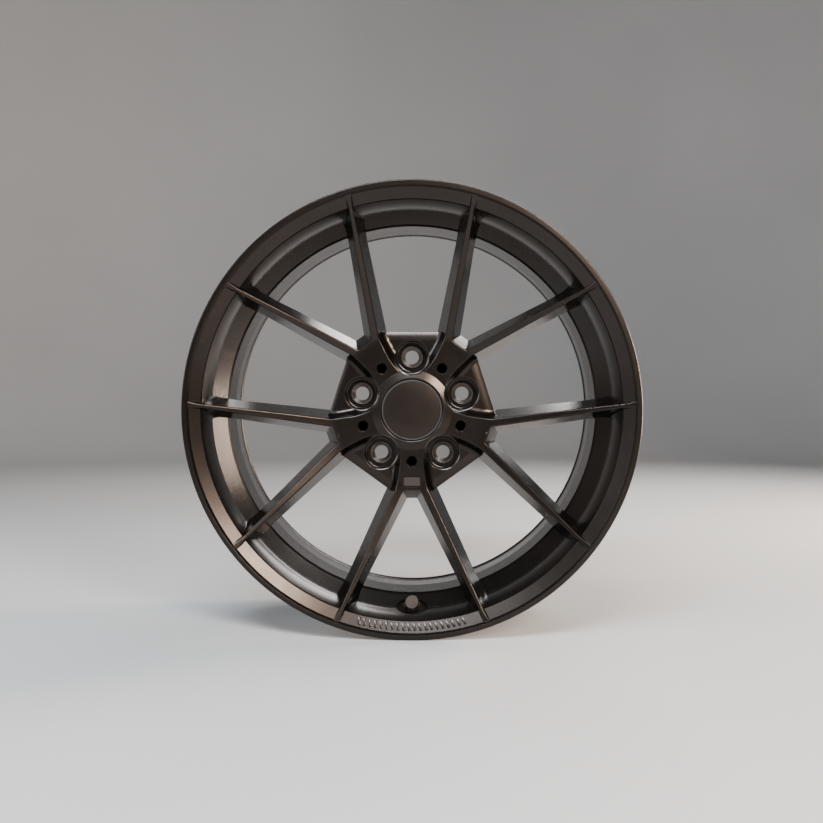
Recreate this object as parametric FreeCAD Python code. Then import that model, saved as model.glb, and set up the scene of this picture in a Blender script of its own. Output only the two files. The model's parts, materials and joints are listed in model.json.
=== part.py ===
import FreeCAD, Part
import math
import os

# Forged 18 x 8.5 wheel rim with five forked arms.
# The axle is the Y axis. The outboard face looks along -Y and +Z is up.
# The origin is the centre of the hub mounting face, so the outboard lip lies at y = -84.

# Driving dimensions, in mm
RIM_DIAMETER = 462.0          # bead seat diameter of an 18 inch rim
RIM_WIDTH = 215.9             # 8.5 inches between the flanges
FLANGE_HEIGHT = 17.3
FLANGE_ARC = 9.5
FLANGE_WIDTH = 11.0
FRONT_Y = -84.0               # outboard face of the lip
BOLT_CIRCLE = 120.0
BOLTS = 5
HUB_BORE = 72.6
CAP_DIAMETER = 67.8
FACE_Y = -39.0                # flat front of the arms
PAD_Y = -26.0                 # front of the bolt pads
PAD_CHORD = 88.0              # axle to the straight outer edge of a pad
FIRST_ARM = 54.0              # degrees from +X towards +Z
BADGE_ARM = 270.0             # the arm that carries the blank plate

STEP_ANGLE = 360.0 / BOLTS
HALF_STEP = STEP_ANGLE / 2
SEAT_R = RIM_DIAMETER / 2
FLANGE_R = SEAT_R + FLANGE_HEIGHT
FRONT_FLANGE_Y = FRONT_Y + FLANGE_WIDTH
REAR_FLANGE_Y = FRONT_FLANGE_Y + RIM_WIDTH
REAR_Y = REAR_FLANGE_Y + FLANGE_WIDTH
SEAT_TAPER = math.tan(math.radians(5))
BOLT_R = BOLT_CIRCLE / 2

# Inner wall of the rim, as (radius, y)
LIP_TOP = (243.0, FRONT_Y)
LIP_EDGE = (240.8, -81.4)
CONE_END = (229.3, -75.6)
COVE_TOP = (228.3, -74.3)
COVE_MID = (223.4, -60.0)
COVE_END = (222.0, -46.0)
SLOPE_TOP = (221.0, -44.0)
SLOPE_END = (210.0, -21.0)
WELL_R = 208.0
WELL_START = -18.0
WELL_END = 26.0
RIM_SPLITS = (SLOPE_TOP[1], -14.0, 29.0, 112.0)   # where the five rings of the rim meet

# Forked arm, seen from the front: x runs out along the arm and z across it
CROTCH_X = 89.5
CROTCH_LEAN = 0.375
INNER_START = (90.1, 9.7)
INNER_RUN = (139.6, 58.9)
INNER_DRAFT = (0.114, -0.228)
OUTER_START = (110.7, 28.8)
OUTER_START_Y = -45.3
OUTER_RUN = (111.6, 62.1)
OUTER_DRAFT = (-0.106, 0.2265)
WAIST = ((42.6, 14.2, 0.38), (59.6, 13.3, 0.42), (75.5, 15.3, 0.37), (84.5, 17.2, 0.32))
WAIST_END_X = 92.0
TOOL_TOP = -88.0
WINDOW_FLOOR = 14.0
RECESS_FLOOR = -2.5
FAR_X = 275.0
NOSE_R = 44.7
NOSE_DRAFT = 0.3
TROUGH_FILLET = 8.0
RIM_FILLET = 6.0
CROTCH_FILLET = 1.5
RIDGE_FILLET = 1.5
LEG_POCKET_ENDS = ((119.0, -12.3, 28.3), (186.0, -34.3, 59.4))
LEG_POCKET_DEPTH = 12.0
HUB_SPLIT = 89.0              # axle to the flat faces where the legs start

# Hub
CAP_SEAT_R = 34.2
CAP_SEAT_Y = -35.5
CAP_BORE_R = 31.5
RING_SEAT_R = 37.05
HUB_BORE_Y = -14.0
POCKET_R = 16.3
POCKET_Y = -12.0
INSERT_R = 12.35
INSERT_FRONT_Y = -13.2
INSERT_BACK_Y = -4.0
BOLT_HOLE_R = 7.75
SMALL_HOLE_R = 57.5
SMALL_HOLE_DEPTH = 17.0
BACK_POCKET_DEPTH = 7.0
PLATE_R = 80.0                # axle to the middle of the blank plate
PLATE_FLOOR_Y = -37.4

# Valve, on the arm that carries the plate
VALVE_R = 217.5
VALVE_Y = -36.5
VALVE_TILT = 22.0


def vec(x, y, z=0.0):
    return FreeCAD.Vector(x, y, z)


ORIGIN = vec(0, 0)
AXLE = vec(0, 1)


def outline(steps):
    """A closed face in the (radius, y) plane.

    A step is a point, a pair (a point on an arc and its end), or a list: the directions that a smooth
    curve starts and ends in, and the points that it passes.
    """
    first = vec(*steps[0])
    here = first
    edges = []
    for step in list(steps[1:]) + [steps[0]]:
        if isinstance(step, list):
            points = [here] + [vec(*point) for point in step[2:]]
            curve = Part.BSplineCurve()
            curve.interpolate(Points=points, InitialTangent=vec(*step[0]), FinalTangent=vec(*step[1]))
            edges.append(curve.toShape())
            here = points[-1]
        elif isinstance(step[0], tuple):
            end = vec(*step[1])
            edges.append(Part.Arc(here, vec(*step[0]), end).toShape())
            here = end
        else:
            end = vec(*step)
            edges.append(Part.LineSegment(here, end).toShape())
            here = end
    return Part.Face(Part.Wire(edges))


def turned(shape, degrees):
    """A copy turned about the axle, from +X towards +Z."""
    copy = shape.copy()
    copy.rotate(ORIGIN, AXLE, -degrees)
    return copy


def ring(steps):
    return outline(steps).revolve(ORIGIN, AXLE, 360)


def sector(steps):
    """One fifth of a ring, centred on the +X arm."""
    face = outline(steps)
    face.rotate(ORIGIN, AXLE, -HALF_STEP)
    return face.revolve(ORIGIN, AXLE, STEP_ANGLE)


def polygon_at(points, y):
    corners = [vec(x, y, z) for x, z in points]
    return Part.makePolygon(corners + corners[:1])


def rim_steps():
    hump_y = FRONT_FLANGE_Y + 22
    rear_hump_y = REAR_FLANGE_Y - 22
    seat_low = SEAT_R - 20 * SEAT_TAPER
    arc_r = FLANGE_R - FLANGE_ARC
    bend = FLANGE_ARC * math.sqrt(0.5)
    front_arc_y = FRONT_FLANGE_Y - FLANGE_ARC
    rear_arc_y = REAR_FLANGE_Y + FLANGE_ARC
    return [
        LIP_TOP,
        LIP_EDGE,
        CONE_END,
        COVE_TOP,
        (COVE_MID, COVE_END),
        SLOPE_TOP,
        SLOPE_END,
        (WELL_R, WELL_START),
        (WELL_R, WELL_END),
        (216.5, 100.0),
        (222.5, 116.0),
        (222.5, REAR_Y - 9),
        (221.5, REAR_Y - 7),
        (221.5, REAR_Y - 4),
        (223.5, REAR_Y - 2.5),
        (233.0, REAR_Y - 2.5),
        ((239.0, REAR_Y - 1.6), (243.0, REAR_Y)),
        (FLANGE_R - 1.2, REAR_Y),
        ((FLANGE_R - 0.35, REAR_Y - 0.35), (FLANGE_R, rear_arc_y)),
        ((arc_r + bend, rear_arc_y - bend), (arc_r, REAR_FLANGE_Y)),
        (SEAT_R + 5.0, REAR_FLANGE_Y),
        ((SEAT_R + 1.2, REAR_FLANGE_Y - 1.6), (SEAT_R - 0.5, REAR_FLANGE_Y - 5.5)),
        (seat_low, rear_hump_y + 2),
        ((seat_low + 1.1, rear_hump_y - 1.5), (seat_low, rear_hump_y - 5)),
        (228.2, rear_hump_y - 9),
        (222.5, 96.0),
        (214.0, 34.0),
        (213.7, 28.0),
        (213.7, -15.0),
        (215.6, -20.5),
        (227.6, -44.0),
        (seat_low, hump_y + 4.5),
        ((seat_low + 1.1, hump_y + 1.5), (seat_low, hump_y - 2)),
        (SEAT_R - 0.5, FRONT_FLANGE_Y + 5.5),
        ((SEAT_R + 1.2, FRONT_FLANGE_Y + 1.6), (SEAT_R + 5.0, FRONT_FLANGE_Y)),
        (arc_r, FRONT_FLANGE_Y),
        ((arc_r + bend, front_arc_y + bend), (FLANGE_R, front_arc_y)),
        ((FLANGE_R - 0.35, FRONT_Y + 0.35), (FLANGE_R - 1.2, FRONT_Y)),
    ]


def star_steps():
    """The disc that the arms are cut from."""
    return [
        (30.0, FACE_Y),
        (80.0, FACE_Y),
        [(1.0, 0.0), (1.0, -0.33), (98.0, -41.4), (165.0, -59.3), (241.9, -82.5)],
        (244.0, -80.0),
        (233.0, -74.0),
        (228.5, -66.0),
        (224.5, -46.0),
        (220.5, -39.5),
        (196.0, -37.5),
        (100.0, -6.0),
        (86.0, -3.0),
        (30.0, -3.0),
    ]


def hub_plate_steps():
    """The raised mounting face behind the star."""
    return [
        (30.0, -8.0),
        (84.0, -8.0),
        (79.5, -2.5),
        (77.5, 0.0),
        (30.0, 0.0),
    ]


def inner_line(y):
    """Where the V side of the fork passes at height y: a point, and the far end of the line."""
    rise = y - FACE_Y
    x = INNER_START[0] + rise * INNER_DRAFT[0]
    z = INNER_START[1] + rise * INNER_DRAFT[1]
    slope = INNER_RUN[1] / INNER_RUN[0]
    near_x = CROTCH_X + rise * CROTCH_LEAN
    near = (near_x, z + slope * (near_x - x))
    far = (FAR_X, z + slope * (FAR_X - x))
    return near, far


def window_reach():
    """The space that the window tools stay inside. Its wall runs just within the metal of the rim."""
    steps = [(0.0, TOOL_TOP), (252.0, TOOL_TOP)]
    wall = [(-1.0, 0.6), (-0.05, 1.0), (243.5, -81.7), (233.0, -75.6), (228.6, -69.0), (225.2, -58.0),
            (223.5, -46.0), (214.0, -24.0), (211.0, WINDOW_FLOOR)]
    return ring(steps + [wall, (0.0, WINDOW_FLOOR)])


def radius_of(point):
    return math.hypot(point.x, point.z)


def upright_edges(shape, low_r, high_r):
    """The edges that run from the front to the back of a shape, between two radii."""
    found = []
    for edge in shape.Edges:
        ends = [vertex.Point for vertex in edge.Vertexes]
        if len(ends) == 2 and abs(ends[0].y - ends[1].y) > 60:
            if low_r < radius_of((ends[0] + ends[1]) / 2) < high_r:
                found.append(edge)
    return found


def window_solid(wires):
    """A window tool with round ends at the rim."""
    tool = Part.makeLoft(wires, True, True).common(window_reach())
    return tool.makeFillet(RIM_FILLET, upright_edges(tool, 180, 300))


def fork_tool():
    """The V-shaped window between the two legs of an arm."""
    wires = []
    for y in (TOOL_TOP, WINDOW_FLOOR):
        near, far = inner_line(y)
        points = [near, far, (far[0], -far[1]), (near[0], -near[1])]
        wires.append(polygon_at(points, y))
    tool = window_solid(wires)
    return tool.makeFillet(CROTCH_FILLET, upright_edges(tool, 50, 130))


def outer_z(x, y):
    """The bolt side of a leg at height y."""
    rise = y - OUTER_START_Y
    px = OUTER_START[0] + rise * OUTER_DRAFT[0]
    pz = OUTER_START[1] + rise * OUTER_DRAFT[1]
    return pz + (x - px) * OUTER_RUN[1] / OUTER_RUN[0]


def to_bolt_axis(x, z):
    """A point given along and across an arm, along and across the next bolt axis instead."""
    turn = math.radians(HALF_STEP)
    along = x * math.cos(turn) + z * math.sin(turn)
    across = z * math.cos(turn) - x * math.sin(turn)
    return along, across


def recess_half(y, side):
    """One flank of a bolt window at height y, on one side of the bolt axis."""
    lean = y - FACE_Y
    waist = [(x, z + lean * draft) for x, z, draft in WAIST]
    waist.append((WAIST_END_X, outer_z(WAIST_END_X, y)))
    points = []
    for along, across in [to_bolt_axis(x, z) for x, z in waist]:
        points.append(vec(along, y, side * across))
    start = to_bolt_axis(1.0, -0.1)
    finish = to_bolt_axis(1.0, OUTER_RUN[1] / OUTER_RUN[0])
    curve = Part.BSplineCurve()
    curve.interpolate(Points=points, InitialTangent=vec(start[0], 0, side * start[1]),
                      FinalTangent=vec(finish[0], 0, side * finish[1]))
    along, across = to_bolt_axis(FAR_X, outer_z(FAR_X, y))
    tip = vec(along, y, side * across)
    return points[0], curve.toShape(), Part.LineSegment(points[-1], tip).toShape(), tip


def recess_loft():
    """The whole space between two arms, from the cap ring out to the rim."""
    wires = []
    for y in (TOOL_TOP, RECESS_FLOOR):
        start, curve, flank, tip = recess_half(y, 1)
        other_start, other_curve, other_flank, other_tip = recess_half(y, -1)
        nose = vec(NOSE_R + NOSE_DRAFT * (y - FACE_Y), y, 0)
        hub_arc = Part.Arc(start, nose, other_start).toShape()
        outside = Part.LineSegment(other_tip, tip).toShape()
        wires.append(Part.Wire([flank, curve, hub_arc, other_curve, other_flank, outside]))
    return window_solid(wires)


def across_block(steps):
    """A block with this outline, given along the bolt axis and in y, that runs right across it."""
    face = outline(steps)
    face.translate(vec(0, 0, -FAR_X))
    return face.extrude(vec(0, 0, 2 * FAR_X))


def recess_tool():
    """The window between two arms: a trough above the bolt pad, and all the way down beyond it."""
    loft = recess_loft()
    trough = loft.common(across_block([
        (20.0, TOOL_TOP - 5),
        (20.0, PAD_Y),
        (78.0, PAD_Y),
        ((87.5, -24.2), (97.0, -18.5)),
        (97.0, TOOL_TOP - 5),
    ]))
    sides = [edge for edge in trough.Edges if is_trough_side(edge)]
    trough = trough.makeFillet(TROUGH_FILLET, sides)
    beyond = loft.common(across_block([
        (PAD_CHORD, TOOL_TOP - 5),
        (PAD_CHORD, WINDOW_FLOOR),
        (FAR_X, WINDOW_FLOOR),
        (FAR_X, TOOL_TOP - 5),
    ]))
    return trough.fuse(beyond)


def is_trough_side(edge):
    """Whether an edge runs out along the floor of the trough, where a flank meets the pad."""
    ends = [vertex.Point for vertex in edge.Vertexes]
    if len(ends) < 2 or min(point.y for point in ends) < PAD_Y - 0.01:
        return False
    return abs(ends[0].x - ends[1].x) > 5 and abs(ends[0].z) > 5


def front_y(r):
    """The front of the disc that the arms are cut from."""
    line = Part.LineSegment(vec(r, -200), vec(r, -20)).toShape()
    return outline(star_steps()).common(line).BoundBox.YMin


def ridge_edges(shape):
    """The edges where the front of the arms meets their sides."""
    found = []
    for edge in shape.Edges:
        low, high = edge.ParameterRange
        middle = edge.valueAt((low + high) / 2)
        r = radius_of(middle)
        bearing = abs(math.degrees(math.atan2(middle.z, middle.x)))
        if 46 < r < 231 and bearing < 25 and middle.y < FACE_Y + 0.02 and edge.Length > 1:
            if abs(middle.y - front_y(r)) < 0.02 and not isinstance(edge.Curve, Part.Circle):
                found.append(edge)
    return found


def arm_sector():
    star = sector(star_steps()).cut(fork_tool())
    window = recess_tool()
    for side in (HALF_STEP, -HALF_STEP):
        star = star.cut(turned(window, side))
    return star.fuse(sector(hub_plate_steps())).removeSplitter()


def forging_sector():
    """One fifth of the forging, centred on the +X arm, before any drilling."""
    body = arm_sector()
    body = body.makeFillet(RIDGE_FILLET, ridge_edges(body))
    body = body.fuse(sector(rim_steps())).removeSplitter()
    for side in (1, -1):
        body = body.cut(leg_pocket(side))
    return body


def leg_pocket(side):
    """The tapered lightening pocket in the back of one leg."""
    wires = []
    for depth, half_widths in ((-6.0, (9.6, 7.4)), (LEG_POCKET_DEPTH, (4.6, 3.4))):
        corners = []
        for (x, y, z), half in zip(LEG_POCKET_ENDS, half_widths):
            corners.append((x, y - depth, z, half))
        (x1, y1, z1, w1), (x2, y2, z2, w2) = corners
        length = math.hypot(x2 - x1, z2 - z1)
        across = vec((z1 - z2) / length, 0, (x2 - x1) / length)
        near = vec(x1, y1, z1)
        far = vec(x2, y2, z2)
        points = [near - across * w1, far - across * w2, far + across * w2, near + across * w1]
        points = [vec(point.x, point.y, side * point.z) for point in points]
        wires.append(Part.makePolygon(points + points[:1]))
    return Part.makeLoft(wires, True, True)


def spoke_reach():
    """The space between the hub and the rim where the legs are nodes of their own."""
    return ring([(0.0, -95.0), (233.0, -95.0), (233.0, -84.0), (219.0, -72.0), (214.5, -46.0),
                 (203.0, -22.0), (203.0, 30.0), (0.0, 30.0)])


def hub_prism():
    """The five-sided block that the hub node is cut out with."""
    corners = []
    for k in range(BOLTS + 1):
        angle = math.radians(k * STEP_ANGLE)
        r = HUB_SPLIT / math.cos(math.radians(HALF_STEP))
        corners.append(vec(r * math.cos(angle), -60, r * math.sin(angle)))
    return Part.Face(Part.makePolygon(corners)).extrude(vec(0, 80))


def at_bolt(steps, angle, r=BOLT_R):
    """A turned shape on an axis parallel to the axle."""
    shape = ring(steps)
    shape.translate(vec(r, 0, 0))
    return turned(shape, angle)


def bolt_angles():
    return [FIRST_ARM + HALF_STEP + k * STEP_ANGLE for k in range(BOLTS)]


def arm_angles():
    return [FIRST_ARM + k * STEP_ANGLE for k in range(BOLTS)]


def plate_block(along, across, low_y, high_y, corner):
    """A block with rounded corners on the arm that carries the blank plate."""
    block = Part.makeBox(along, high_y - low_y, across, vec(PLATE_R - along / 2, low_y, -across / 2))
    upright = [edge for edge in block.Edges if abs(edge.Vertexes[0].Y - edge.Vertexes[1].Y) > 0.5]
    return turned(block.makeFillet(corner, upright), BADGE_ARM)


def back_pocket(angle):
    """The shallow pocket in the mounting face between two bolts."""
    face = outline([(49.0, -BACK_POCKET_DEPTH), (69.0, -BACK_POCKET_DEPTH), (69.0, 5.0), (49.0, 5.0)])
    face.rotate(ORIGIN, AXLE, -16)
    pocket = face.revolve(ORIGIN, AXLE, 32)
    upright = []
    for edge in pocket.Edges:
        if len(edge.Vertexes) == 2 and abs(edge.Vertexes[0].Y - edge.Vertexes[1].Y) > 5:
            upright.append(edge)
    return turned(pocket.makeFillet(4.0, upright), angle)


def hub_centre(sectors):
    hub = sectors[0].fuse(sectors[1:])
    nose = ring([(30.0, -30.0), (30.0, -42.0), (34.5, -41.75), (NOSE_R, FACE_Y), (45.0, -38.0),
                 (45.0, -30.0)])
    hub = hub.fuse(nose)
    bore = ring([
        (0.0, -50.0),
        (36.2, -50.0),
        (36.2, -41.3),
        ((34.8, -40.8), (CAP_SEAT_R, -39.4)),
        (CAP_SEAT_R, CAP_SEAT_Y),
        (CAP_BORE_R, CAP_SEAT_Y),
        (CAP_BORE_R, -29.5),
        (32.7, -28.8),
        (32.7, -26.2),
        (CAP_BORE_R, -25.5),
        (CAP_BORE_R, HUB_BORE_Y),
        (RING_SEAT_R, HUB_BORE_Y),
        (RING_SEAT_R, -1.2),
        (RING_SEAT_R + 1.2, 0.0),
        (RING_SEAT_R + 1.2, 10.0),
        (0.0, 10.0),
    ])
    hub = hub.cut(bore)
    pocket = [
        (0.0, -60.0),
        (25.5, -60.0),
        (20.9, -38.0),
        (19.4, -26.0),
        ((17.3, -24.6), (16.3, -21.5)),
        (POCKET_R, POCKET_Y),
        (INSERT_R, POCKET_Y),
        (INSERT_R, INSERT_BACK_Y),
        (BOLT_HOLE_R, INSERT_BACK_Y),
        (BOLT_HOLE_R, 5.0),
        (0.0, 5.0),
    ]
    small_hole = [(0.0, -50.0), (7.4, -50.0), (7.4, FACE_Y - 1), (6.4, FACE_Y), (5.0, FACE_Y + 1.4),
                  (5.0, FACE_Y + SMALL_HOLE_DEPTH), (0.0, FACE_Y + SMALL_HOLE_DEPTH + 3)]
    for bolt_angle, arm_angle in zip(bolt_angles(), arm_angles()):
        hub = hub.cut(at_bolt(pocket, bolt_angle))
        hub = hub.cut(at_bolt(small_hole, arm_angle, SMALL_HOLE_R))
        hub = hub.cut(back_pocket(arm_angle))
    return hub.cut(plate_block(13.0, 22.0, FACE_Y - 5, PLATE_FLOOR_Y, 1.5))


def bolt_seat_insert(angle):
    return at_bolt([
        (BOLT_HOLE_R, INSERT_BACK_Y),
        (BOLT_HOLE_R, -6.53),
        (11.6, INSERT_FRONT_Y),
        (11.9, INSERT_FRONT_Y),
        (INSERT_R, INSERT_FRONT_Y + 0.45),
        (INSERT_R, INSERT_BACK_Y),
    ], angle)


def hub_ring():
    bore_r = HUB_BORE / 2
    return ring([(bore_r, -13.0), (RING_SEAT_R, -13.0), (RING_SEAT_R, -1.2), (RING_SEAT_R - 0.2, -1.0),
                 (bore_r + 0.3, -1.0), (bore_r, -1.3)])


def cap_disc():
    """The blank, slightly domed face of the centre cap."""
    return ring([(0.0, -39.6), (0.0, -41.6), [(1.0, 0.0), (1.0, 0.1), (20.0, -41.3), (31.2, -40.5)],
                 ((31.8, -40.35), (32.0, -39.9)), (32.0, -39.6)])


def cap_body():
    """Flange, skirt and eight snap legs."""
    cap_r = CAP_DIAMETER / 2
    body = ring([
        (0.0, -37.6),
        (0.0, -39.6),
        (cap_r - 1.8, -39.6),
        (cap_r - 1.8, -40.6),
        ((cap_r - 1.0, -41.1), (cap_r - 0.2, -40.4)),
        (cap_r, -39.6),
        (cap_r, CAP_SEAT_Y),
        (31.2, CAP_SEAT_Y),
        (31.2, -20.5),
        (30.2, -18.5),
        (29.0, -18.5),
        (29.0, -24.0),
        (28.4, -24.6),
        (28.4, -26.8),
        (29.0, -27.4),
        (29.0, -37.6),
    ])
    for k in range(4):
        slot = Part.makeBox(80, 14.5, 5.0, vec(-40, -32.0, -2.5))
        body = body.cut(turned(slot, k * 45))
    return body


def cap_spring_ring():
    """The open wire ring that spreads the legs."""
    section = Part.Face(Part.Wire(Part.makeCircle(0.75, vec(27.6, -25.7), vec(0, 0, 1))))
    section.rotate(ORIGIN, AXLE, 5)
    return section.revolve(ORIGIN, AXLE, 350)


def on_valve(steps):
    """A turned shape on the valve axis. Negative y points out of the well, towards the front."""
    return to_valve(ring(steps))


def to_valve(shape):
    shape.rotate(ORIGIN, vec(0, 0, 1), -VALVE_TILT)
    shape.translate(vec(VALVE_R, VALVE_Y, 0))
    return turned(shape, BADGE_ARM)


def valve_cuts():
    """The hole, the counterbore, the flat for the seal and the round relief in the slope of the well."""
    tools = [on_valve([(0.0, -25.0), (9.3, -25.0), (9.3, 3.0), (5.75, 3.0), (5.75, 20.0), (0.0, 20.0)])]
    tools.append(on_valve([(0.0, 7.4), (9.6, 7.4), (9.6, 30.0), (0.0, 30.0)]))
    relief = ring([(0.0, -14.0), (17.5, -14.0), (17.5, 0.9), (0.0, 0.9)])
    lean = math.degrees(math.atan2(SLOPE_END[1] - SLOPE_TOP[1], SLOPE_TOP[0] - SLOPE_END[0]))
    relief.rotate(ORIGIN, vec(0, 0, 1), -lean)
    relief.translate(vec(SLOPE_TOP[0], SLOPE_TOP[1], 0))
    tools.append(turned(relief, BADGE_ARM))
    return tools


def hexagon(across_flats, low, high):
    r = across_flats / math.sqrt(3)
    corners = []
    for k in range(7):
        angle = math.radians(60 * k)
        corners.append(vec(r * math.cos(angle), low, r * math.sin(angle)))
    return Part.Face(Part.makePolygon(corners)).extrude(vec(0, high - low))


def valve_parts():
    """The clamp-in valve. Along its axis the counterbore floor is at 3 and the tyre side at 7.4."""
    parts = {}
    stem = ring([(2.6, -6.6), (3.6, -6.6), (4.0, -6.2), (4.0, 10.6), (8.2, 10.6), (8.2, 12.4), (7.6, 13.0),
                 (1.6, 13.0), (1.6, 6.4), (2.6, 5.4)])
    parts["valve_stem"] = to_valve(stem)
    parts["valve_grommet"] = on_valve([(4.0, 4.4), (5.5, 4.4), (5.5, 7.4), (8.4, 7.4), (8.4, 10.6),
                                       (4.0, 10.6)])
    parts["valve_washer"] = on_valve([(4.1, 2.2), (7.4, 2.2), (7.4, 3.0), (4.1, 3.0)])
    collar = ring([(4.0, 0.6), (7.4, 0.6), (7.7, 0.9), (7.7, 2.2), (4.0, 2.2)])
    corners = ring([(0.0, -2.2), (6.1, -2.2), (7.0, -1.6), (7.0, 0.8), (0.0, 0.8)])
    grip = hexagon(12.0, -2.2, 0.8).common(corners)
    bore = Part.makeCylinder(4.0, 10, vec(0, -5), AXLE)
    parts["valve_nut"] = to_valve(collar.fuse(grip).cut(bore).removeSplitter())
    parts["valve_cap_shell"] = to_valve(cap_shell())
    parts["valve_cap_seal"] = on_valve([(0.0, -8.1), (3.9, -8.1), (3.9, -7.2), (0.0, -7.2)])
    parts["valve_core_body"] = on_valve([(1.7, -4.6), (2.1, -4.6), (2.6, -4.0), (2.6, -1.2), (2.0, -1.2),
                                         (2.0, 3.0), (0.75, 3.0), (0.75, 2.2), (1.7, 2.2)])
    parts["valve_core_pin"] = on_valve([(0.0, -5.9), (0.55, -5.9), (0.7, -5.6), (0.7, -2.0), (1.5, -2.0),
                                        (1.5, -1.3), (0.7, -1.3), (0.7, 3.05), (1.95, 3.05), (1.95, 4.2),
                                        (0.0, 4.2)])
    coil = Part.makeHelix(0.55, 2.2, 1.2)
    coil.rotate(ORIGIN, vec(1, 0, 0), -90)
    coil.translate(vec(0, -0.25))
    start = coil.Edges[0].valueAt(coil.Edges[0].FirstParameter)
    heading = coil.Edges[0].tangentAt(coil.Edges[0].FirstParameter)
    section = Part.Wire(Part.makeCircle(0.2, start, heading))
    spring = Part.Wire(coil.Edges).makePipeShell([section], True, True)
    parts["valve_core_spring"] = to_valve(spring)
    parts["valve_core_seal"] = on_valve([(2.05, -1.0), (2.55, -1.0), (2.55, 0.2), (2.05, 0.2)])
    return parts


def cap_shell():
    """The screw cap of the valve, with grooves round it for grip."""
    shell = ring([(0.0, -9.6), (7.2, -9.6), (8.0, -8.8), (8.0, -2.6), (4.2, -2.6), (4.2, -8.2),
                  (0.0, -8.2)])
    for k in range(24):
        groove = Part.makeCylinder(0.45, 5.6, vec(8.15, -8.4), AXLE)
        shell = shell.cut(turned(groove, k * 15))
    return shell


def forging_parts():
    """The forging, cut into nodes that meet face to face."""
    whole = forging_sector()
    prism = hub_prism()
    hub_piece = whole.common(prism)
    legs = whole.common(spoke_reach()).cut(prism)
    rim_piece = whole.cut(spoke_reach())
    angles = arm_angles()
    parts = {"hub_centre": hub_centre([turned(hub_piece, angle) for angle in angles])}
    number = 1
    for angle in angles:
        for leg in sorted(legs.Solids, key=lambda solid: solid.CenterOfMass.z):
            parts["spoke_%02d" % number] = turned(leg, angle)
            number += 1
    rims = [turned(rim_piece, angle) for angle in angles]
    rim = rims[0].fuse(rims[1:]).removeSplitter()
    for tool in valve_cuts():
        rim = rim.cut(tool)
    names = ("rim_front_lip", "rim_front_step", "rim_well", "rim_barrel", "rim_rear_lip")
    starts = (FRONT_Y - 10,) + RIM_SPLITS
    ends = RIM_SPLITS + (REAR_Y + 10,)
    for name, start, end in zip(names, starts, ends):
        parts[name] = rim.common(Part.makeBox(600, end - start, 600, vec(-300, start, -300)))
    return parts


def all_parts():
    parts = forging_parts()
    for k, angle in enumerate(bolt_angles()):
        parts["bolt_seat_insert_%d" % (k + 1)] = bolt_seat_insert(angle)
    parts["hub_ring"] = hub_ring()
    parts["cap_disc"] = cap_disc()
    parts["cap_body"] = cap_body()
    parts["cap_spring_ring"] = cap_spring_ring()
    parts["badge_plate"] = plate_block(9.2, 18.0, FACE_Y - 0.3, PLATE_FLOOR_Y, 1.0)
    parts.update(valve_parts())
    return parts


os.makedirs("parts", exist_ok=True)
for name, shape in all_parts().items():
    shape.exportStep("parts/%s.step" % name)
    print(name, shape.ShapeType, len(shape.Solids), shape.isValid(), round(shape.Volume, 1))
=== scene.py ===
import json
import math

import bmesh
import bpy
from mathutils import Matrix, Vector


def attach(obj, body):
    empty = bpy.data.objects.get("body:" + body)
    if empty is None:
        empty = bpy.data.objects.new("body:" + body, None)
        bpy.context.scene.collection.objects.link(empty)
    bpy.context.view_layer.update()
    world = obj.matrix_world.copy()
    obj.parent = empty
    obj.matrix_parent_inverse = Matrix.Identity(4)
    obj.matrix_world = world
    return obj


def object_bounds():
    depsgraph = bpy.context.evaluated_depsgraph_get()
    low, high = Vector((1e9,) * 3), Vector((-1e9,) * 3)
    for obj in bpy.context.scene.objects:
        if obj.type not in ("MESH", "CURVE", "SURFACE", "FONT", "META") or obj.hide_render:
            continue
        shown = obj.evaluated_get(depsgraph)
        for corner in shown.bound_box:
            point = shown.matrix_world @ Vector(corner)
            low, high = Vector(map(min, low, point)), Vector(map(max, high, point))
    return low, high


# The finish of a forged wheel rim, with the marks on its lip and the thread of its valve.
# Lengths are in metres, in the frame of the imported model: the axle is Y and the face looks along -Y.

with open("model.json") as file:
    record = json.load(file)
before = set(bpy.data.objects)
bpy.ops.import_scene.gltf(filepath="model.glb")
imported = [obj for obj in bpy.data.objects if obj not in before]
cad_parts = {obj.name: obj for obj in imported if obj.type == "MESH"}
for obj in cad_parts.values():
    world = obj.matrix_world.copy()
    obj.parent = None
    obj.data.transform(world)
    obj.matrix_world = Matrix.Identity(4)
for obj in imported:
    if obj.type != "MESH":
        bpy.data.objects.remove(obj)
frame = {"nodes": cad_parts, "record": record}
cad_low, cad_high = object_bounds()
record = frame["record"]
nodes = frame["nodes"]

MM = 0.001

# Camera
LENS = 45.6
SENSOR_WIDTH = 36.0
CAMERA_AT = (0.010, -1.204, 0.020)
LOOK_AT = (0.0, cad_low.y, -0.00075)

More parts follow.
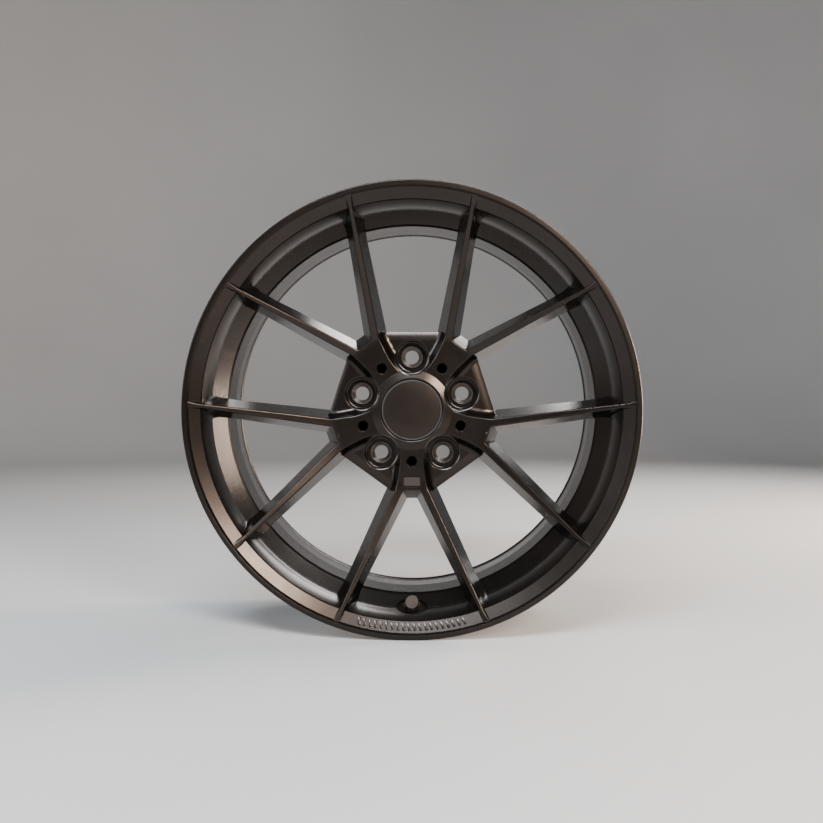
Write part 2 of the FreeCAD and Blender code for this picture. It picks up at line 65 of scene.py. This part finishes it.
# Studio. A light has a name, a place, a width and height, a power in watts and a color.
FLOOR_RADIUS = 4.6
FLOOR_CURVE = 1.6
FLOOR_TURNS = 96
FLAT_RINGS = 6
CURVE_RINGS = 16
WALL_HEIGHT = 4.0
FLOOR_DARK = (0.40, 0.40, 0.40, 1.0)
FLOOR_LIGHT = (0.43, 0.43, 0.43, 1.0)
FLOOR_CLOUD = 0.8
FLOOR_ROUGHNESS = 0.8
SKY_COLOR = (0.42, 0.43, 0.45, 1.0)
SKY_STRENGTH = 0.3
COOL_COLOR = (0.84, 0.92, 1.0)
WARM_COLOR = (1.0, 0.84, 0.72)
PLAIN_COLOR = (1.0, 0.98, 0.96)
LIGHTS = (
    ("key", (0.80, -1.75, 0.80), (0.4, 0.6), 58.0, WARM_COLOR),
    ("top", (-0.25, -1.45, 1.45), (1.0, 0.40), 75.0, COOL_COLOR),
    ("side", (2.0, 0.75, 0.25), (0.6, 1.0), 160.0, WARM_COLOR),
    ("left", (-1.7, -1.15, 0.7), (0.9, 1.2), 45.0, COOL_COLOR),
    ("back", (0.8, 1.9, 1.3), (1.2, 0.9), 35.0, PLAIN_COLOR),
)

# Colors of the finishes
COAT_DARK = (0.019, 0.0149, 0.0125, 1.0)
COAT_LIGHT = (0.024, 0.0190, 0.0161, 1.0)
FLAKE_COLOR = (0.10, 0.082, 0.070, 1.0)
CAP_DARK = (0.022, 0.0168, 0.0142, 1.0)
CAP_LIGHT = (0.026, 0.0200, 0.0170, 1.0)
PLATE_DARK = (0.075, 0.063, 0.056, 1.0)
PLATE_LIGHT = (0.090, 0.076, 0.068, 1.0)
SEAT_DARK = (0.13, 0.111, 0.099, 1.0)
SEAT_LIGHT = (0.20, 0.174, 0.158, 1.0)
ALUMINIUM = (0.62, 0.63, 0.65)
WIRE = (0.42, 0.42, 0.43)
ANODISED_STEM = (0.055, 0.048, 0.043)
ANODISED_CAP = (0.030, 0.0245, 0.0210)
BRASS = (0.68, 0.48, 0.20)
BLACK_PLASTIC = (0.012, 0.011, 0.0105)
BLACK_RUBBER = (0.010, 0.010, 0.010)

# Powder coat. The drift and the flakes take these ranges of their noise.
WHEEL_ROUGHNESS = 0.26
CAP_ROUGHNESS = 0.34
PLATE_ROUGHNESS = 0.26
WHEEL_ROUNDING = 0.5 * MM
TRIM_ROUNDING = 0.2 * MM
DRIFT_SIZE = 90.0 * MM
DRIFT_RANGE = (0.15, 0.85)
CLOUD_SIZE = 25.0 * MM
FLAKE_SIZE = 0.45 * MM
FLAKE_RANGE = (0.56, 0.72)
FLAKE_SHARE = 0.12
FLAKE_HEIGHT = 0.0015 * MM
PEEL_SIZE = 2.2 * MM
PEEL_DEPTH = 0.006 * MM

# Bare metal. Tool lines are 2 pi times their size apart.
STAIN_SIZE = 6.0 * MM
METAL_CLOUD = 10.0 * MM
METAL_TINT = 0.12
SEAT_ROUGHNESS = (0.30, 0.42)
SEAT_LINES = 0.35 * MM
SEAT_ROUNDING = 0.25 * MM
SMALL_ROUNDING = 0.15 * MM
LINE_DEPTH = 0.006 * MM
TURNED_WOBBLE = 0.6
FACED_WOBBLE = 0.4

# Moulded pieces
MOULDED_CLOUD = 12.0 * MM
MOULDED_LIFT = 1.6
MOULDED_SPREAD = 0.06

# Blender's wave texture runs through this many radians over one unit, and these are the color
# sockets of its mix node.
WAVE_RADIANS = 20
MIX_AMOUNT, MIX_FIRST, MIX_SECOND, MIX_RESULT = 0, 6, 7, 2

# Row of plain marks on the bottom of the lip's cone
CONE_OUTER = (240.8 * MM, -81.4 * MM)
CONE_INNER = (229.3 * MM, -75.6 * MM)
MARK_COUNT = 20
MARK_SPAN = math.radians(28.0)
MARK_RADIUS = 234.6 * MM
MARK_LENGTH = 8.0 * MM
MARK_WIDTH = 3.2 * MM
MARK_HEIGHT = 0.9 * MM
MARK_SINK = 0.15 * MM
MARK_DRAFT = 0.3 * MM
MARK_ROUNDING = 0.22 * MM
MARK_SLANT = math.radians(18.0)

# Valve thread. The run-out is in steps, and the least crest is a share of the full one. The half
# widths are shares of the pitch.
VALVE_AT = Vector((0.0, -36.5 * MM, -217.5 * MM))
VALVE_TILT = math.radians(22.0)
THREAD_PITCH = 0.794 * MM
THREAD_TURNS = 4.6
THREAD_STEPS = 40
THREAD_START = -2.4 * MM
THREAD_ROOT = 3.98 * MM
THREAD_CREST = 4.12 * MM
THREAD_SINK = 0.1 * MM
THREAD_RUN_OUT = 10
LEAST_CREST = 0.05
HALF_FOOT = 0.36
HALF_CREST = 0.08


# Shader nodes

def feed(tree, node, inputs):
    """Sets a node's inputs. An input is a value, or the output to link to it."""
    for name, value in inputs.items():
        if isinstance(value, bpy.types.NodeSocket):
            tree.links.new(value, node.inputs[name])
        else:
            node.inputs[name].default_value = value


def add(tree, kind, inputs=None, **settings):
    """A new node with its settings and inputs."""
    node = tree.nodes.new(kind)
    for name, value in settings.items():
        setattr(node, name, value)
    feed(tree, node, inputs or {})
    return node


def blank(name):
    """A material with nothing but its Principled shader, and the coordinates that it is laid out in."""
    material = bpy.data.materials.new(name)
    material.use_nodes = True
    tree = material.node_tree
    tree.nodes.clear()
    shader = add(tree, "ShaderNodeBsdfPrincipled")
    add(tree, "ShaderNodeOutputMaterial", {"Surface": shader.outputs["BSDF"]})
    place = add(tree, "ShaderNodeTexCoord").outputs["Object"]
    return material, tree, shader, place


def noise(tree, place, size, detail=2.0, roughness=0.5):
    """Noise from 0 to 1, with features about this many metres across."""
    inputs = {"Vector": place, "Scale": 1.0 / size, "Detail": detail, "Roughness": roughness}
    return add(tree, "ShaderNodeTexNoise", inputs).outputs["Fac"]


def spread(tree, value, low, high, start=0.3, end=0.7):
    """The value's range from start to end, stretched to the range from low to high."""
    inputs = {"Value": value, "From Min": start, "From Max": end, "To Min": low, "To Max": high}
    return add(tree, "ShaderNodeMapRange", inputs).outputs["Result"]


def blend_color(tree, amount, first, second):
    """The first color where the amount is 0 and the second where it is 1."""
    inputs = {MIX_AMOUNT: amount, MIX_FIRST: first, MIX_SECOND: second}
    return add(tree, "ShaderNodeMix", inputs, data_type="RGBA").outputs[MIX_RESULT]


def bumped(tree, height, depth, normal):
    """A normal from a height between 0 and 1 that stands for a depth in metres."""
    inputs = {"Height": height, "Distance": depth, "Strength": 1.0, "Normal": normal}
    return add(tree, "ShaderNodeBump", inputs).outputs["Normal"]


def edge_normal(tree, radius):
    """The surface normal with every edge rounded by this radius."""
    return add(tree, "ShaderNodeBevel", {"Radius": radius}, samples=4).outputs["Normal"]


def tool_lines(tree, place, size, distortion, **direction):
    """Fine, slightly uneven lines in one direction."""
    inputs = {"Vector": place, "Scale": 1.0 / (size * WAVE_RADIANS), "Distortion": distortion}
    inputs.update({"Detail": 2.0, "Detail Scale": 2.0})
    return add(tree, "ShaderNodeTexWave", inputs, **direction).outputs["Fac"]


def turned_lines(tree, place, size):
    """Rings about the axle, as a lathe leaves them on a wall."""
    return tool_lines(tree, place, size, TURNED_WOBBLE, wave_type="BANDS", bands_direction="Y")


def faced_lines(tree, place, size):
    """Rings about the axle, as a lathe leaves them on a flat face."""
    return tool_lines(tree, place, size, FACED_WOBBLE, wave_type="RINGS", rings_direction="Y")


# Materials

def coat(name, dark, light, roughness, rounding):
    """Satin powder coat: slow drifts of shade, fine flakes, orange peel, and soft bright edges."""
    material, tree, shader, place = blank(name)
    drift = noise(tree, place, DRIFT_SIZE, 3.0)
    flake = noise(tree, place, FLAKE_SIZE, 1.0)
    shade = blend_color(tree, spread(tree, drift, *DRIFT_RANGE), dark, light)
    sparkle = spread(tree, flake, 0.0, FLAKE_SHARE, *FLAKE_RANGE)
    cloudy = noise(tree, place, CLOUD_SIZE, 4.0, 0.6)
    peel = noise(tree, place, PEEL_SIZE, 1.0)
    peeled = bumped(tree, peel, PEEL_DEPTH, edge_normal(tree, rounding))
    feed(tree, shader, {
        "Base Color": blend_color(tree, sparkle, shade, FLAKE_COLOR),
        "Roughness": spread(tree, cloudy, roughness - 0.015, roughness + 0.02),
        "Metallic": 0.90,
        "Specular IOR Level": 0.50,
        "Coat Weight": 0.10,
        "Coat Roughness": 0.16,
        "Normal": bumped(tree, flake, FLAKE_HEIGHT, peeled),
    })
    return material


def seat_steel(name):
    """A conical seat, turned and darkened."""
    material, tree, shader, place = blank(name)
    stain = noise(tree, place, STAIN_SIZE, 3.0)
    lines = turned_lines(tree, place, SEAT_LINES)
    feed(tree, shader, {
        "Base Color": blend_color(tree, spread(tree, stain, 0.0, 1.0), SEAT_DARK, SEAT_LIGHT),
        "Roughness": spread(tree, stain, *SEAT_ROUGHNESS),
        "Metallic": 0.9,
        "Normal": bumped(tree, lines, LINE_DEPTH, edge_normal(tree, SEAT_ROUNDING)),
    })
    return material


def bare_metal(name, color, roughness, line_size):
    """Bare machined metal with fine rings."""
    material, tree, shader, place = blank(name)
    cloud = noise(tree, place, METAL_CLOUD, 4.0)
    dark = [channel * (1.0 - METAL_TINT) for channel in color] + [1.0]
    light = list(color) + [1.0]
    lines = faced_lines(tree, place, line_size)
    feed(tree, shader, {
        "Base Color": blend_color(tree, spread(tree, cloud, 0.0, 1.0), dark, light),
        "Roughness": spread(tree, cloud, roughness - 0.05, roughness + 0.08),
        "Metallic": 1.0,
        "Normal": bumped(tree, lines, LINE_DEPTH, edge_normal(tree, SMALL_ROUNDING)),
    })
    return material


def moulded(name, color, roughness, grain_size, grain_depth):
    """Moulded plastic or rubber with a fine grain."""
    material, tree, shader, place = blank(name)
    cloud = noise(tree, place, MOULDED_CLOUD, 3.0)
    dark = list(color) + [1.0]
    light = [channel * MOULDED_LIFT for channel in color] + [1.0]
    grain = noise(tree, place, grain_size, 2.0)
    feed(tree, shader, {
        "Base Color": blend_color(tree, spread(tree, cloud, 0.0, 0.6), dark, light),
        "Roughness": spread(tree, cloud, roughness - MOULDED_SPREAD, roughness + MOULDED_SPREAD),
        "Normal": bumped(tree, grain, grain_depth, edge_normal(tree, SMALL_ROUNDING)),
    })
    return material


def finishes():
    """The material of each slot in the record."""
    return {
        "dark_bronze_coat": coat("wheel_coat", COAT_DARK, COAT_LIGHT, WHEEL_ROUGHNESS, WHEEL_ROUNDING),
        "seat_steel": seat_steel("seat_turned_steel"),
        "ring_aluminium": bare_metal("ring_turned", ALUMINIUM, 0.30, 0.4 * MM),
        "cap_face": coat("cap_satin", CAP_DARK, CAP_LIGHT, CAP_ROUGHNESS, TRIM_ROUNDING),
        "cap_plastic": moulded("cap_moulded", BLACK_PLASTIC, 0.5, 0.5 * MM, 0.01 * MM),
        "spring_wire": bare_metal("wire_drawn", WIRE, 0.28, 0.3 * MM),
        "plate_coat": coat("plate_satin", PLATE_DARK, PLATE_LIGHT, PLATE_ROUGHNESS, TRIM_ROUNDING),
        "valve_metal": bare_metal("valve_anodised", ANODISED_STEM, 0.32, 0.3 * MM),
        "valve_cap_metal": bare_metal("valve_cap_anodised", ANODISED_CAP, 0.36, 0.3 * MM),
        "valve_rubber": moulded("valve_seal_rubber", BLACK_RUBBER, 0.7, 0.4 * MM, 0.02 * MM),
        "core_brass": bare_metal("core_turned_brass", BRASS, 0.28, 0.25 * MM),
    }


def dress(materials):
    """Gives every CAD node the material of its slot."""
    for part in record["subparts"]:
        mesh = nodes[part["node"]].data
        mesh.materials.clear()
        mesh.materials.append(materials[part["material_slot"]])


# Meshes

def join_rings(work, first, second):
    """The faces between two rings that have the same number of points."""
    count = len(first)
    for i in range(count):
        j = (i + 1) % count
        work.faces.new((first[i], first[j], second[j], second[i]))


def placed(name, work, material):
    """The finished mesh as a smooth object in the scene."""
    mesh = bpy.data.meshes.new(name)
    work.to_mesh(mesh)
    work.free()
    mesh.materials.append(material)
    mesh.shade_smooth()
    piece = bpy.data.objects.new(name, mesh)
    bpy.context.scene.collection.objects.link(piece)
    return piece


def detail_piece(name, work, material, body):
    """A detail that rides on a body of the wheel."""
    piece = placed(name, work, material)
    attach(piece, body)
    return piece


# Marks on the lip

def cone_point(radius, angle, height):
    """A point this high above the lip's cone, at a radius and an angle from the bottom of the wheel."""
    along = Vector((CONE_INNER[0] - CONE_OUTER[0], CONE_INNER[1] - CONE_OUTER[1])).normalized()
    share = (radius - CONE_OUTER[0]) / (CONE_INNER[0] - CONE_OUTER[0])
    y = CONE_OUTER[1] + share * (CONE_INNER[1] - CONE_OUTER[1])
    radius = radius - along.y * height
    y = y + along.x * height
    return Vector((radius * math.sin(angle), y, -radius * math.cos(angle)))


def mark_ring(work, angle, inset, height):
    """The four corners of one slanted mark at this height, this far inside its outline."""
    half_width = MARK_WIDTH / 2 - inset
    half_length = MARK_LENGTH / 2 - inset
    corners = []
    for across, out in ((-1, -1), (1, -1), (1, 1), (-1, 1)):
        u = across * half_width
        v = out * half_length
        side = u * math.cos(MARK_SLANT) + v * math.sin(MARK_SLANT)
        radius = MARK_RADIUS + v * math.cos(MARK_SLANT) - u * math.sin(MARK_SLANT)
        corners.append(work.verts.new(cone_point(radius, angle + side / MARK_RADIUS, height)))
    return corners


def lip_marks(material):
    """A row of plain slanted marks, raised on the cone of the lip."""
    work = bmesh.new()
    for k in range(MARK_COUNT):
        angle = MARK_SPAN * (k / (MARK_COUNT - 1) - 0.5)
        foot = mark_ring(work, angle, 0.0, -MARK_SINK)
        top = mark_ring(work, angle, MARK_DRAFT, MARK_HEIGHT)
        work.faces.new(top)
        work.faces.new(reversed(foot))
        join_rings(work, foot, top)
    bmesh.ops.recalc_face_normals(work, faces=work.faces)
    edges = work.edges[:]
    bmesh.ops.bevel(work, geom=edges, offset=MARK_ROUNDING, segments=2, profile=0.6, affect="EDGES")
    detail_piece("lip_marks", work, material, "wheel")


# Valve thread

def valve_point(radius, angle, along):
    """A point round the valve's axis. Negative along is towards the cap."""
    axis = Vector((0.0, math.cos(VALVE_TILT), -math.sin(VALVE_TILT)))
    side = Vector((1.0, 0.0, 0.0))
    up = axis.cross(side)
    return VALVE_AT + axis * along + (side * math.cos(angle) + up * math.sin(angle)) * radius


def thread_ring(work, k, last):
    """The four corners of the thread at a step. Its crest sinks towards the first and last step."""
    angle = 2 * math.pi * k / THREAD_STEPS
    along = THREAD_START - THREAD_PITCH * k / THREAD_STEPS
    share = min(1.0, k / THREAD_RUN_OUT, (last - k) / THREAD_RUN_OUT)
    crest = THREAD_ROOT + (THREAD_CREST - THREAD_ROOT) * max(share, LEAST_CREST)
    foot = THREAD_ROOT - THREAD_SINK
    profile = ((foot, HALF_FOOT), (crest, HALF_CREST), (crest, -HALF_CREST), (foot, -HALF_FOOT))
    corners = []
    for radius, offset in profile:
        corners.append(work.verts.new(valve_point(radius, angle, along + offset * THREAD_PITCH)))
    return corners


def valve_thread(material):
    """The raised thread on the stem that the valve cap screws on to."""
    work = bmesh.new()
    last = THREAD_TURNS * THREAD_STEPS
    rings = [thread_ring(work, k, last) for k in range(int(last) + 1)]
    for first, second in zip(rings, rings[1:]):
        join_rings(work, first, second)
    work.faces.new(rings[0])
    work.faces.new(reversed(rings[-1]))
    bmesh.ops.recalc_face_normals(work, faces=work.faces)
    piece = detail_piece("valve_thread", work, material, "wheel")
    piece.data.shade_flat()


# Studio

def floor_profile():
    """The floor from its middle outwards, then the curve up into the wall, as (radius, height)."""
    flat = FLOOR_RADIUS - FLOOR_CURVE
    points = [(flat * k / FLAT_RINGS, 0.0) for k in range(1, FLAT_RINGS + 1)]
    for k in range(1, CURVE_RINGS + 1):
        angle = math.pi / 2 * k / CURVE_RINGS
        points.append((flat + FLOOR_CURVE * math.sin(angle), FLOOR_CURVE * (1 - math.cos(angle))))
    points.append((FLOOR_RADIUS, WALL_HEIGHT))
    return points


def floor_ring(work, radius, height):
    """The points of the floor on one circle."""
    ring = []
    for k in range(FLOOR_TURNS):
        angle = 2 * math.pi * k / FLOOR_TURNS
        ring.append(work.verts.new((radius * math.cos(angle), radius * math.sin(angle), height)))
    return ring


def floor_material():
    """A plain pale grey."""
    material, tree, shader, place = blank("floor_plain")
    cloud = noise(tree, place, FLOOR_CLOUD, 3.0)
    color = blend_color(tree, spread(tree, cloud, 0.0, 1.0), FLOOR_DARK, FLOOR_LIGHT)
    feed(tree, shader, {"Base Color": color, "Roughness": FLOOR_ROUGHNESS})
    return material


def floor():
    """A plain pale floor that curves up into a wall all round, so no view has a horizon."""
    work = bmesh.new()
    middle = work.verts.new((0.0, 0.0, 0.0))
    rings = [floor_ring(work, radius, height) for radius, height in floor_profile()]
    for k in range(FLOOR_TURNS):
        work.faces.new((middle, rings[0][k], rings[0][(k + 1) % FLOOR_TURNS]))
    for inner, outer in zip(rings, rings[1:]):
        join_rings(work, outer, inner)
    sweep = placed("floor", work, floor_material())
    sweep.location.z = cad_low.z


def area_light(name, at, size, power, color):
    """A light that faces the middle of the wheel and isn't seen itself."""
    light = bpy.data.lights.new(name, "AREA")
    light.shape = "RECTANGLE"
    light.size, light.size_y = size
    light.energy = power
    light.color = color
    lamp = bpy.data.objects.new(name, light)
    lamp.location = at
    target = (cad_low + cad_high) / 2
    lamp.rotation_euler = (target - Vector(at)).to_track_quat("-Z", "Y").to_euler()
    lamp.visible_camera = False
    bpy.context.scene.collection.objects.link(lamp)


def studio():
    """The floor, the lights and the light of the room."""
    floor()
    for light in LIGHTS:
        area_light(*light)
    world = bpy.data.worlds.new("studio")
    world.use_nodes = True
    sky = world.node_tree.nodes["Background"]
    sky.inputs["Color"].default_value = SKY_COLOR
    sky.inputs["Strength"].default_value = SKY_STRENGTH
    bpy.context.scene.world = world


def camera():
    """The camera that the rest view is taken with."""
    lens = bpy.data.cameras.new("camera")
    lens.lens = LENS
    lens.sensor_width = SENSOR_WIDTH
    eye = bpy.data.objects.new("camera", lens)
    eye.location = CAMERA_AT
    eye.rotation_euler = (Vector(LOOK_AT) - Vector(CAMERA_AT)).to_track_quat("-Z", "Y").to_euler()
    bpy.context.scene.collection.objects.link(eye)
    bpy.context.scene.camera = eye


camera()
studio()
materials = finishes()
dress(materials)
lip_marks(materials["dark_bronze_coat"])
valve_thread(materials["valve_metal"])
